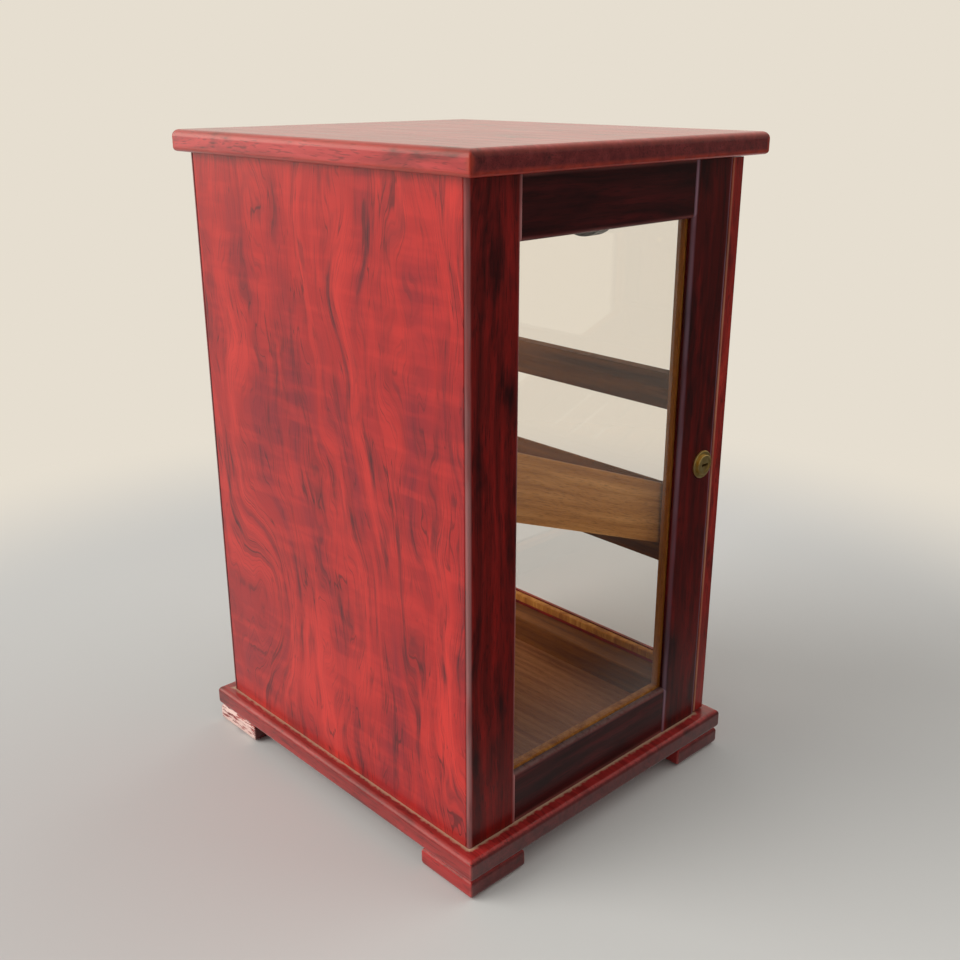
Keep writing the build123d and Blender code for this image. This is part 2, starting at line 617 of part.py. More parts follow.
outer_spans = ((-HINGE_HEIGHT / 2, -knuckle / 2), (knuckle / 2, HINGE_HEIGHT / 2))
middle_span = ((-knuckle / 2 + HINGE_KNUCKLE_GAP, knuckle / 2 - HINGE_KNUCKLE_GAP),)
carcass_hinge_screws = []
door_hinge_screws = []
stile_cuts = []
door_cuts = []
for name, z in zip(("lower", "upper"), hinge_levels):
    screw_zs = (z - HINGE_SCREW_SPACING / 2, z + HINGE_SCREW_SPACING / 2)
    into_carcass = [Pos(leaf_screw_x, carcass_leaf_y[0], screw_z) * Rot(90, 0, 0) for screw_z in screw_zs]
    into_door = [Pos(leaf_screw_x, door_leaf_y[1], screw_z) * Rot(-90, 0, 0) for screw_z in screw_zs]
    made, holes = wood_screws(into_carcass, HINGE_SCREW_LENGTH)
    carcass_hinge_screws += made
    parts[f"{name}_hinge_carcass_leaf"] = drill(hinge_leaf(z, *carcass_leaf_y, outer_spans), holes)
    recess = block(leaf_x0, x_out, y_front, carcass_leaf_y[1], z - HINGE_HEIGHT / 2, z + HINGE_HEIGHT / 2)
    stile_cuts += [recess] + holes
    made, holes = wood_screws(into_door, HINGE_SCREW_LENGTH)
    door_hinge_screws += made
    parts[f"{name}_hinge_door_leaf"] = drill(hinge_leaf(z, *door_leaf_y, middle_span), holes)
    recess = block(leaf_x0, x_out, door_leaf_y[0], y_door_back, z - HINGE_HEIGHT / 2, z + HINGE_HEIGHT / 2)
    door_cuts += [recess] + holes
    pin_end = HINGE_HEIGHT / 2 + HINGE_KNUCKLE_GAP / 2
    pin = rod_z(hinge_x, hinge_y, z - pin_end, z + pin_end, HINGE_PIN_DIAMETER)
    for end in (-1, 1):
        cap_z = z + end * pin_end
        pin += rod_z(hinge_x, hinge_y, cap_z, cap_z + end * HINGE_PIN_HEAD_HEIGHT, HINGE_BARREL_DIAMETER)
    parts[f"{name}_hinge_pin"] = pin
parts["carcass_hinge_screws"] = Compound(carcass_hinge_screws)
parts["door_hinge_screws"] = Compound(door_hinge_screws)
parts["door_hinge_stile"] = drill(door_hinge_stile, door_cuts)

# Lock in the front stile of the left side
face_x = -x_out
barrel_end_x = face_x + LOCK_BARREL_LENGTH
plug_face_x = face_x - LOCK_COLLAR_HEIGHT + LOCK_PLUG_RECESS
plug_bore = LOCK_PLUG_DIAMETER + 2 * LOCK_PLUG_CLEARANCE
housing = rod_x(face_x - LOCK_FLANGE_THICKNESS, face_x, lock_y, lock_z, LOCK_FLANGE_DIAMETER)
housing = ease(housing, GeomType.CIRCLE, Axis.X, LOCK_EASE, 0)
collar = rod_x(face_x - LOCK_COLLAR_HEIGHT, barrel_end_x, lock_y, lock_z, LOCK_COLLAR_DIAMETER)
housing += ease(collar, GeomType.CIRCLE, Axis.X, LOCK_EASE, 0)
parts["lock_housing"] = housing - rod_x(-BODY_WIDTH, 0, lock_y, lock_z, plug_bore)
barrel_hole = rod_x(-BODY_WIDTH, 0, lock_y, lock_z, LOCK_COLLAR_DIAMETER + JOINT_GAP)
both_sides("side_rear_stile", rear_stile)
parts["right_side_front_stile"] = drill(front_stile, stile_cuts)
nut_recess = rod_x(-x_in - LOCK_NUT_THICKNESS, -x_in, lock_y, lock_z, LOCK_NUT_RECESS_DIAMETER)
parts["left_side_front_stile"] = mirror(front_stile, about=Plane.YZ) - barrel_hole - nut_recess
hexagon = RegularPolygon(
    LOCK_NUT_WIDTH / 2, LOCK_NUT_SIDES, major_radius=False, rotation=180 / LOCK_NUT_SIDES,
)
nut = Pos(-x_in, lock_y, lock_z) * Rot(0, -90, 0) * extrude(hexagon, LOCK_NUT_THICKNESS)
parts["lock_nut"] = nut - barrel_hole

cam_x0 = barrel_end_x + CAM_FACE_GAP
cam_x1 = cam_x0 + CAM_THICKNESS
plug = rod_x(plug_face_x, barrel_end_x + CAM_FACE_GAP, lock_y, lock_z, LOCK_PLUG_DIAMETER)
square_half = CAM_SQUARE / 2
plug += block(
    cam_x0, cam_x1, lock_y - square_half, lock_y + square_half, lock_z - square_half, lock_z + square_half,
)
plug -= block(
    plug_face_x, plug_face_x + LOCK_KEYHOLE_DEPTH, lock_y - LOCK_KEYHOLE_LENGTH / 2,
    lock_y + LOCK_KEYHOLE_LENGTH / 2, lock_z - LOCK_KEYHOLE_WIDTH / 2, lock_z + LOCK_KEYHOLE_WIDTH / 2,
)
screw_bore = rod_x(
    cam_x1 - CAM_SCREW_LENGTH, cam_x1, lock_y, lock_z, CAM_SCREW_DIAMETER + 2 * SCREW_HOLE_CLEARANCE,
)
parts["lock_plug"] = plug - screw_bore
cam_tip_y = lock_y - CAM_REACH + CAM_WIDTH / 2
cam = block(cam_x0, cam_x1, cam_tip_y, lock_y, lock_z - CAM_WIDTH / 2, lock_z + CAM_WIDTH / 2)
cam += rod_x(cam_x0, cam_x1, cam_tip_y, lock_z, CAM_WIDTH)
cam += rod_x(cam_x0, cam_x1, lock_y, lock_z, CAM_HUB_DIAMETER)
hole_half = square_half + JOINT_GAP
cam -= block(cam_x0, cam_x1, lock_y - hole_half, lock_y + hole_half, lock_z - hole_half, lock_z + hole_half)
parts["lock_cam"] = cam
cam_screw = rod_x(cam_x1, cam_x1 + CAM_SCREW_HEAD_HEIGHT, lock_y, lock_z, CAM_SCREW_HEAD_DIAMETER)
cam_screw = ease(cam_screw, GeomType.CIRCLE, Axis.X, CAM_SCREW_EASE)
cam_screw += rod_x(cam_x1 - CAM_SCREW_LENGTH + JOINT_GAP, cam_x1, lock_y, lock_z, CAM_SCREW_DIAMETER)
head_x = cam_x1 + CAM_SCREW_HEAD_HEIGHT
cam_screw -= block(
    head_x - SCREW_SLOT, head_x, lock_y - CAM_SCREW_HEAD_DIAMETER, lock_y + CAM_SCREW_HEAD_DIAMETER,
    lock_z - SCREW_SLOT / 2, lock_z + SCREW_SLOT / 2,
)
parts["lock_cam_screw"] = cam_screw

# Keeper on the door: its lip hangs behind the cam once the cam is turned up
cam_middle_x = (cam_x0 + cam_x1) / 2
keeper_x0 = cam_middle_x - KEEPER_WIDTH / 2
keeper_x1 = cam_middle_x + KEEPER_WIDTH / 2
keeper_z = lock_z + CAM_REACH + KEEPER_TIP_GAP
lip_y0 = lock_y + CAM_WIDTH / 2 + KEEPER_CAM_GAP
plate_y1 = y_door_back + KEEPER_SHEET
keeper = block(keeper_x0, keeper_x1, y_door_back, plate_y1, keeper_z, keeper_z + KEEPER_PLATE_HEIGHT)
keeper += block(keeper_x0, keeper_x1, y_door_back, lip_y0 + KEEPER_SHEET, keeper_z, keeper_z + KEEPER_SHEET)
keeper += block(
    keeper_x0, keeper_x1, lip_y0, lip_y0 + KEEPER_SHEET, keeper_z - KEEPER_TIP_GAP - KEEPER_OVERLAP, keeper_z,
)
keeper_places = [
    Pos(cam_middle_x, plate_y1, keeper_z + level) * Rot(-90, 0, 0) for level in KEEPER_SCREW_LEVELS
]
keeper_screws, keeper_holes = wood_screws(keeper_places, KEEPER_SCREW_LENGTH)
parts["lock_keeper"] = drill(keeper, keeper_holes)
parts["door_lock_stile"] = drill(door_lock_stile, keeper_holes)

# Humidifier on the inside of the door, at the top: a cup, a moist pad and a slotted cover
puck_x = -HUMIDIFIER_OFFSET
puck_radius = HUMIDIFIER_DIAMETER / 2
puck_z = door_z1 - HUMIDIFIER_TOP_GAP - puck_radius
puck_y1 = y_door_back + HUMIDIFIER_DEPTH
pad_y0 = y_door_back + HUMIDIFIER_WALL
cover_y0 = puck_y1 - HUMIDIFIER_COVER_THICKNESS
cup_bore = HUMIDIFIER_DIAMETER - 2 * HUMIDIFIER_WALL
screw_z = puck_z + HUMIDIFIER_SCREW_RISE
puck_place = [Pos(puck_x, pad_y0, screw_z) * Rot(-90, 0, 0)]
puck_screws, puck_holes = wood_screws(puck_place, HUMIDIFIER_SCREW_LENGTH)
cup = rod_y(puck_x, y_door_back, cover_y0, puck_z, HUMIDIFIER_DIAMETER)
cup -= rod_y(puck_x, pad_y0, puck_y1, puck_z, cup_bore)
parts["humidifier_cup"] = drill(cup, puck_holes)
pad = rod_y(puck_x, pad_y0, cover_y0 - HUMIDIFIER_PAD_GAP, puck_z, cup_bore - 2 * HUMIDIFIER_PAD_GAP)
well = rod_y(puck_x, pad_y0, puck_y1, screw_z, SCREW_HEAD_DIAMETER + HUMIDIFIER_SCREW_WELL)
parts["humidifier_pad"] = pad - well
cover = rod_y(puck_x, cover_y0, puck_y1, puck_z, HUMIDIFIER_DIAMETER)
cover = ease(cover, GeomType.CIRCLE, Axis.Y, HUMIDIFIER_COVER_EASE)
slot_reach = cup_bore / 2 - HUMIDIFIER_COVER_RIM
for index in range(HUMIDIFIER_SLOT_COUNT):
    rise = slot_reach * (2 * (index + 0.5) / HUMIDIFIER_SLOT_COUNT - 1)
    slot_half = (slot_reach**2 - rise**2) ** 0.5
    slot_z0 = puck_z + rise - HUMIDIFIER_SLOT_WIDTH / 2
    slot_z1 = slot_z0 + HUMIDIFIER_SLOT_WIDTH
    cover -= block(puck_x - slot_half, puck_x + slot_half, cover_y0, puck_y1, slot_z0, slot_z1)
parts["humidifier_cover"] = cover
parts["door_fitting_screws"] = Compound(keeper_screws + puck_screws)
parts["door_top_rail"] = drill(door_rails["top"], puck_holes)
parts["door_bottom_rail"] = door_rails["bottom"]

os.makedirs("parts", exist_ok=True)
for name, piece in parts.items():
    export_step(piece, f"parts/{name}.step")
print(len(parts), "nodes written")
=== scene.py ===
import math

import bpy
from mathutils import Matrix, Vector


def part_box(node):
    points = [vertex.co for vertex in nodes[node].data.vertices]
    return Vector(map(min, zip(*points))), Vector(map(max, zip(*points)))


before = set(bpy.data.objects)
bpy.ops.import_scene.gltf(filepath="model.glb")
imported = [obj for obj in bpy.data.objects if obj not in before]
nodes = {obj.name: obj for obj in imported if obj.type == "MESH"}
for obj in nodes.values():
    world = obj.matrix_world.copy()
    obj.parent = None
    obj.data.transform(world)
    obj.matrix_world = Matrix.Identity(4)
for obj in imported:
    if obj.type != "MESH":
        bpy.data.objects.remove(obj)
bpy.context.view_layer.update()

# Base board: one mahogany board with a routed nose, stained cherry red and sprayed with satin lacquer.
# The carcass is dowelled to it. It leaves a ledge all round, where dust has settled against the wood.


def linear(colour):
    """A linear RGBA colour from an sRGB hex string."""
    values = [int(colour[i:i + 2], 16) / 255 for i in (1, 3, 5)]
    return [v / 12.92 if v <= 0.04045 else ((v + 0.055) / 1.055) ** 2.4 for v in values] + [1.0]


def add(tree, kind, inputs, out=0, stops=(), **settings):
    """Adds a node with its settings, links or sets its inputs, and returns one of its outputs."""
    node = tree.nodes.new("ShaderNode" + kind)
    for name, value in settings.items():
        setattr(node, name, value)
    for name, value in inputs.items():
        if isinstance(value, bpy.types.NodeSocket):
            tree.links.new(value, node.inputs[name])
        else:
            node.inputs[name].default_value = value
    for index, (place, colour) in enumerate(stops):
        ramp = node.color_ramp.elements
        stop = ramp[index] if index < 2 else ramp.new(place)
        stop.position = place
        stop.color = linear(colour)
    return node.outputs[out] if node.outputs else node


SMOOTH = {"interpolation_type": "SMOOTHSTEP"}
COLOURS = {"data_type": "RGBA", "out": 2}


def start(name):
    """A new material, its tree with nothing in it, and the point on the surface in millimetres."""
    material = bpy.data.materials.new(name)
    material.use_nodes = True
    tree = material.node_tree
    tree.nodes.clear()
    metres = add(tree, "TexCoord", {}, out="Object")
    return material, tree, add(tree, "VectorMath", {0: metres, "Scale": 1000.0}, operation="SCALE")


def coat(node, material):
    """Gives a node its material."""
    slots = nodes[node].material_slots
    if not slots:
        nodes[node].data.materials.append(material)
    for slot in slots:
        slot.link = "OBJECT"
        slot.material = material


def fibres(tree, wood, across, along, detail=2.0, roughness=0.5):
    """A pattern from 0 to 1 with cells so many millimetres across the grain and along it."""
    cell = add(tree, "VectorMath", {0: wood, 1: (1 / across, 1 / across, 1 / along)}, operation="MULTIPLY")
    return add(tree, "TexNoise", {"Vector": cell, "Scale": 1.0, "Detail": detail, "Roughness": roughness})


def along_grain(tree, place, grain, shift, lean=0.0):
    """The point, turned so that the grain runs along Z, and moved so that no two boards match. The lean
    turns the grain of a board that isn't level."""
    turn = {"X": (0, math.pi / 2, 0), "Y": (math.pi / 2, 0, 0), "Z": (0, 0, 0)}[grain]
    turn = (turn[0] + lean, turn[1], turn[2])
    return add(tree, "Mapping", {"Vector": place, "Rotation": turn, "Location": shift})


def arrises(tree, place, node, width, jointed=""):
    """1 along the edges of a square board, and 0 from so many millimetres away from them. A board that is
    jointed at its two ends along an axis has no edges there."""
    low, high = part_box(node)
    middle = [500 * (a + b) for a, b in zip(low, high)]
    half = [500 * (b - a) + 1000 * (axis == jointed) for a, b, axis in zip(low, high, "XYZ")]
    away = add(tree, "VectorMath", {0: place, 1: middle}, operation="SUBTRACT")
    away = add(tree, "VectorMath", {0: away}, operation="ABSOLUTE")
    depth = add(tree, "VectorMath", {0: half, 1: away}, operation="SUBTRACT")
    total = add(tree, "VectorMath", {0: depth, 1: (1, 1, 1)}, out="Value", operation="DOT_PRODUCT")
    split = add(tree, "SeparateXYZ", {0: depth}).node.outputs
    most = add(tree, "Math", {0: split[0], 1: split[1]}, operation="MAXIMUM")
    most = add(tree, "Math", {0: most, 1: split[2]}, operation="MAXIMUM")
    nearest_two = add(tree, "Math", {0: total, 1: most}, operation="SUBTRACT")
    return add(tree, "MapRange", {0: nearest_two, 1: width, 2: width * 0.3}, **SMOOTH)


NEAR_BLACK = "#1E0406"
CASE_RED = ("#7E1716", "#A82C2A", "#942320")
# Arrises: stain rubbed thin, with a painted highlight laid over it along the rounded edges.
PLAIN_RUB_AND_HIGHLIGHT = "#B4625C"
PORE_WIDTH = 0.9
PORE_LENGTH = 14.0
PORE_DEPTH = 0.00005
RIBBON_WIDTH = 7.0
RIBBON_LENGTH = 150.0
STAIN_WIDTH = 20.0
STAIN_LENGTH = 70.0
DRIFT_WIDTH = 45.0
DRIFT_LENGTH = 190.0
DRIFT_REACH = 30.0
WEAR_WIDTH = 8.0
WEAR_LENGTH = 60.0
SATIN_SMOOTHEST = 0.34
SATIN_ROUGHEST = 0.46
LACQUER_ROUGHNESS = 0.25
LACQUER_IOR = 1.5
WOOD_SPECULAR = 0.1


def mahogany(name, node, grain, shift, reds=CASE_RED, cloud=0.25, rub_and_highlight=PLAIN_RUB_AND_HIGHLIGHT, rub_and_highlight_width=2.4,
             rub_and_highlight_most=0.35, end_grain=0.7, sheen=0.8, jointed="", extra=None):
    """Satin lacquer over red stain on mahogany. The eye sees dark clouds and ribbons along the grain,
    fine dark pores, end grain that has drunk more stain, and arrises where the colour is rubbed thin and
    where a pale painted highlight is laid along the edge."""
    material, tree, place = start(name)
    wood = along_grain(tree, place, grain, shift)
    drift = fibres(tree, wood, DRIFT_WIDTH, DRIFT_LENGTH)
    bend = add(tree, "VectorMath", {0: drift, "Scale": DRIFT_REACH}, operation="SCALE")
    wavy = add(tree, "VectorMath", {0: wood, 1: bend}, operation="ADD")
    ribbons = fibres(tree, wavy, RIBBON_WIDTH, RIBBON_LENGTH, detail=3, roughness=0.6)
    clouds = fibres(tree, wavy, STAIN_WIDTH, STAIN_LENGTH, detail=4, roughness=0.62)
    pores = fibres(tree, wavy, PORE_WIDTH, PORE_LENGTH, detail=1)
    deep, warm, red = reds
    colour = add(tree, "ValToRGB", {0: ribbons}, stops=((0.3, deep), (0.7, warm), (0.5, red)))
    from_here, to_here = 0.6 - 0.2 * cloud, 0.82 - 0.16 * cloud
    dark = add(tree, "MapRange", {0: clouds, 1: from_here, 2: to_here, 4: 0.85}, **SMOOTH)
    colour = add(tree, "Mix", {0: dark, 6: colour, 7: linear(NEAR_BLACK)}, **COLOURS)
    pore = add(tree, "MapRange", {0: pores, 1: 0.54, 2: 0.7, 4: 0.5}, **SMOOTH)
    colour = add(tree, "Mix", {0: pore, 6: colour, 7: linear(NEAR_BLACK)}, **COLOURS)
    facing = add(tree, "TexCoord", {}, out="Normal")
    facing = add(tree, "SeparateXYZ", {0: facing}).node.outputs["XYZ".index(grain)]
    facing = add(tree, "Math", {0: facing}, operation="ABSOLUTE")
    thirsty = add(tree, "MapRange", {0: facing, 1: 0.55, 2: 0.95, 4: end_grain}, **SMOOTH)
    colour = add(tree, "Mix", {0: thirsty, 6: colour, 7: linear(NEAR_BLACK)}, **COLOURS)
    # Paler arrises, partly stain rubbed thin and partly a painted highlight.
    rub_and_highlight_mask = arrises(tree, place, node, rub_and_highlight_width, jointed)
    uneven = fibres(tree, wood, WEAR_WIDTH, WEAR_LENGTH)
    rub_and_highlight_least = 0.5 * rub_and_highlight_most
    patchy = add(tree, "MapRange", {0: uneven, 1: 0.34, 2: 0.62, 3: rub_and_highlight_least, 4: rub_and_highlight_most}, **SMOOTH)
    rub_and_highlight_mask = add(tree, "Math", {0: rub_and_highlight_mask, 1: patchy}, operation="MULTIPLY")
    colour = add(tree, "Mix", {0: rub_and_highlight_mask, 6: colour, 7: linear(rub_and_highlight)}, **COLOURS)
    gloss = add(tree, "MapRange", {0: uneven, 1: 0.3, 2: 0.7, 3: SATIN_SMOOTHEST, 4: SATIN_ROUGHEST})
    if extra:
        colour, gloss = extra(tree, place, colour, gloss)
    grainy = add(tree, "Math", {0: pores, 1: ribbons}, operation="ADD")
    bump = add(tree, "Bump", {"Height": grainy, "Distance": PORE_DEPTH, "Strength": 0.25})
    lacquer = add(tree, "BsdfPrincipled", {
        "Base Color": colour, "Roughness": gloss, "Normal": bump, "Specular IOR Level": WOOD_SPECULAR,
        "Coat Weight": sheen, "Coat Roughness": LACQUER_ROUGHNESS, "Coat IOR": LACQUER_IOR,
    })
    add(tree, "OutputMaterial", {"Surface": lacquer})
    return material


LEDGE_DUST = "#B8977A"
LEDGE_DUST_LEAST = 1.8
LEDGE_DUST_MOST = 4.5
LEDGE_DUST_CLUMP = 4.0


def ledge_dust(tree, place, colour, gloss):
    """Dust on the level ledge, thickest where it meets the carcass."""
    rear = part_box("left_side_rear_stile")
    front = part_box("left_side_front_stile")
    middle = (0, 500 * (rear[1].y + front[0].y), 0)
    half = (-1000 * rear[0].x, 500 * (rear[1].y - front[0].y), 0)
    away = add(tree, "VectorMath", {0: place, 1: middle}, operation="SUBTRACT")
    away = add(tree, "VectorMath", {0: away}, operation="ABSOLUTE")
    away = add(tree, "VectorMath", {0: away, 1: half}, operation="SUBTRACT")
    split = add(tree, "SeparateXYZ", {0: away}).node.outputs
    outside = add(tree, "Math", {0: split[0], 1: split[1]}, operation="MAXIMUM")
    ragged = fibres(tree, place, LEDGE_DUST_CLUMP, LEDGE_DUST_CLUMP, detail=3)
    reach = add(tree, "MapRange", {0: ragged, 1: 0.35, 2: 0.65, 3: LEDGE_DUST_LEAST, 4: LEDGE_DUST_MOST})
    lying = add(tree, "MapRange", {0: outside, 1: reach, 2: 0.6, 4: 0.9}, **SMOOTH)
    level = add(tree, "TexCoord", {}, out="Normal")
    level = add(tree, "SeparateXYZ", {0: level}).node.outputs[2]
    level = add(tree, "MapRange", {0: level, 1: 0.95, 2: 1.0}, **SMOOTH)
    dust = add(tree, "Math", {0: lying, 1: level}, operation="MULTIPLY")
    colour = add(tree, "Mix", {0: dust, 6: colour, 7: linear(LEDGE_DUST)}, **COLOURS)
    return colour, add(tree, "Math", {0: dust, 1: gloss}, operation="MAXIMUM")


coat("base_board", mahogany("base_mahogany", "base_board", "X", (0, 0, 40), sheen=1.0,
                            extra=ledge_dust))

# Top slab: the same mahogany with a routed nose all round, dowelled down on the stiles. Its stain is the
# brightest, and the router has cut through to redder wood along the upper edge.
SLAB_RED = ("#922024", "#C43E3E", "#AC2E2E")
NOSE_RED = "#A5321C"
NOSE_WIDTH = 5.0
coat("top_slab", mahogany("slab_mahogany", "top_slab", "X", (210, 30, 0), reds=SLAB_RED, rub_and_highlight=NOSE_RED,
                          rub_and_highlight_width=NOSE_WIDTH, rub_and_highlight_most=0.8, sheen=1.0))

# Feet: square mahogany blocks with rounded edges, each held by a screw from below. The rear right one has
# been knocked, and much of its lacquer and stain has flaked off in splinters along the grain.
CHIP = "#E6C3B8"
CHIP_WIDTH = 2.2
CHIP_LENGTH = 16.0


def chips(tree, place, colour, gloss):
    """Pale splintered patches on the face that looks to the rear."""
    wood = along_grain(tree, place, "X", (0, 0, 0))
    splinters = fibres(tree, wood, CHIP_WIDTH, CHIP_LENGTH, detail=4, roughness=0.7)
    patch = add(tree, "MapRange", {0: splinters, 1: 0.44, 2: 0.5}, **SMOOTH)
    rear = add(tree, "TexCoord", {}, out="Normal")
    rear = add(tree, "SeparateXYZ", {0: rear}).node.outputs[1]
    rear = add(tree, "MapRange", {0: rear, 1: 0.3, 2: 0.7}, **SMOOTH)
    patch = add(tree, "Math", {0: patch, 1: rear}, operation="MULTIPLY")
    colour = add(tree, "Mix", {0: patch, 6: colour, 7: linear(CHIP)}, **COLOURS)
    return colour, add(tree, "Math", {0: patch, 1: gloss}, operation="MAXIMUM")


for index, corner in enumerate(("front_left", "front_right", "rear_left", "rear_right")):
    foot = f"foot_{corner}"
    flaked = chips if corner == "rear_right" else None
    coat(foot, mahogany(f"{foot}_mahogany", foot, "X", (90 * index, 50, 17 * index), extra=flaked))

# Side frames: stiles of full height with rails tenoned between them, of darker, cloudier mahogany than
# the base, its red darkened further as painted shade. The joints are eased, and the router has rounded the
# arris round each window.
# These reds are darker than the wood itself: part of their darkness is painted shade.
STILE_RED_AND_SHADE = ("#4A0604", "#840D07", "#680905")
FRONT_RED_AND_SHADE = ("#380403", "#640805", "#4C0604")
RAIL_RED_AND_SHADE = ("#2A0607", "#4C0B0D", "#380809")
# Painted highlights: a pale pink line along the rear stiles' arrises and a lavender glint along the front
# stiles' rounded window edges, where the window's light would catch them.
PAINTED_STILE_HIGHLIGHT = "#B98482"
PAINTED_EDGE_GLINT = "#A07C8C"
ROUND_WIDTH = 3.6
SETTLED_DUST = "#6E5550"
SETTLED_CLUMP = 3.0


def sill_dust(tree, place, colour, gloss):
    """A film of dust on the rounded sill under the glass."""
    level = add(tree, "TexCoord", {}, out="Normal")
    level = add(tree, "SeparateXYZ", {0: level}).node.outputs[2]
    film = add(tree, "MapRange", {0: level, 1: 0.35, 2: 0.9, 4: 0.75}, **SMOOTH)
    ragged = fibres(tree, place, SETTLED_CLUMP, SETTLED_CLUMP, detail=3)
    thin = add(tree, "MapRange", {0: ragged, 1: 0.3, 2: 0.6, 3: 0.3}, **SMOOTH)
    film = add(tree, "Math", {0: film, 1: thin}, operation="MULTIPLY")
    colour = add(tree, "Mix", {0: film, 6: colour, 7: linear(SETTLED_DUST)}, **COLOURS)
    return colour, add(tree, "Math", {0: film, 1: gloss}, operation="MAXIMUM")


for index, hand in enumerate(("left", "right")):
    for number, (member, grain, reds, rub_and_highlight, rub_and_highlight_most, extra) in enumerate((
        ("rear_stile", "Z", STILE_RED_AND_SHADE, PAINTED_STILE_HIGHLIGHT, 0.6, None),
        ("front_stile", "Z", FRONT_RED_AND_SHADE, PAINTED_EDGE_GLINT, 0.55, None),
        ("top_rail", "Y", RAIL_RED_AND_SHADE, PLAIN_RUB_AND_HIGHLIGHT, 0.3, None),
        ("bottom_rail", "Y", RAIL_RED_AND_SHADE, PLAIN_RUB_AND_HIGHLIGHT, 0.3, sill_dust),
    )):
        node = f"{hand}_side_{member}"
        shift = (140 * index + 60 * number, 70 * number, 230 * index + 90 * number)
        coat(node, mahogany(f"{node}_mahogany", node, grain, shift, reds=reds, cloud=0.65, rub_and_highlight=rub_and_highlight,
                            rub_and_highlight_width=ROUND_WIDTH, rub_and_highlight_most=rub_and_highlight_most, sheen=0.4, jointed=grain,
                            extra=extra))

# Back panel: one sheet of figured rosewood veneer on a core, stained cherry red and lacquered satin.
# Dark flames and thin growth lines run down it, and lie in loops low on the hinges' side.
VENEER_CORAL = "#CC2E26"
VENEER_RED = "#AE1F1C"
VENEER_PLUM = "#8A1822"
VENEER_SMOKE = "#47101A"
VENEER_LINE = "#2C080E"
VENEER_LEAN = 0.1
SWAY_WIDTH = 80.0
SWAY_LENGTH = 190.0
SWAY_REACH = 95.0
WAVE_WIDTH = 20.0
WAVE_LENGTH = 60.0
WAVE_REACH = 13.0
BAND_WIDTH = 36.0
BAND_LENGTH = 200.0
FLAME_WIDTH = 11.0
FLAME_LENGTH = 95.0
CLOUD_WIDTH = 34.0
CLOUD_LENGTH = 70.0
BLOT_WIDTH = 13.0
BLOT_LENGTH = 34.0
GROWTH_WIDTH = 17.0
GROWTH_LENGTH = 230.0
GROWTH_LINES = 11.0
THREAD_WIDTH = 0.9
THREAD_LENGTH = 34.0
THREAD_DEPTH = 0.00004
RIPPLE_WIDTH = 60.0
RIPPLE_LENGTH = 10.0
LOOP_PLACE = (88.0, 0.0, 150.0)
LOOP_SIZE = (48.0, 1000.0, 80.0)
LOOP_REACH = 46.0
VENEER_COAT = 0.8
VENEER_COAT_ROUGHNESS = 0.26


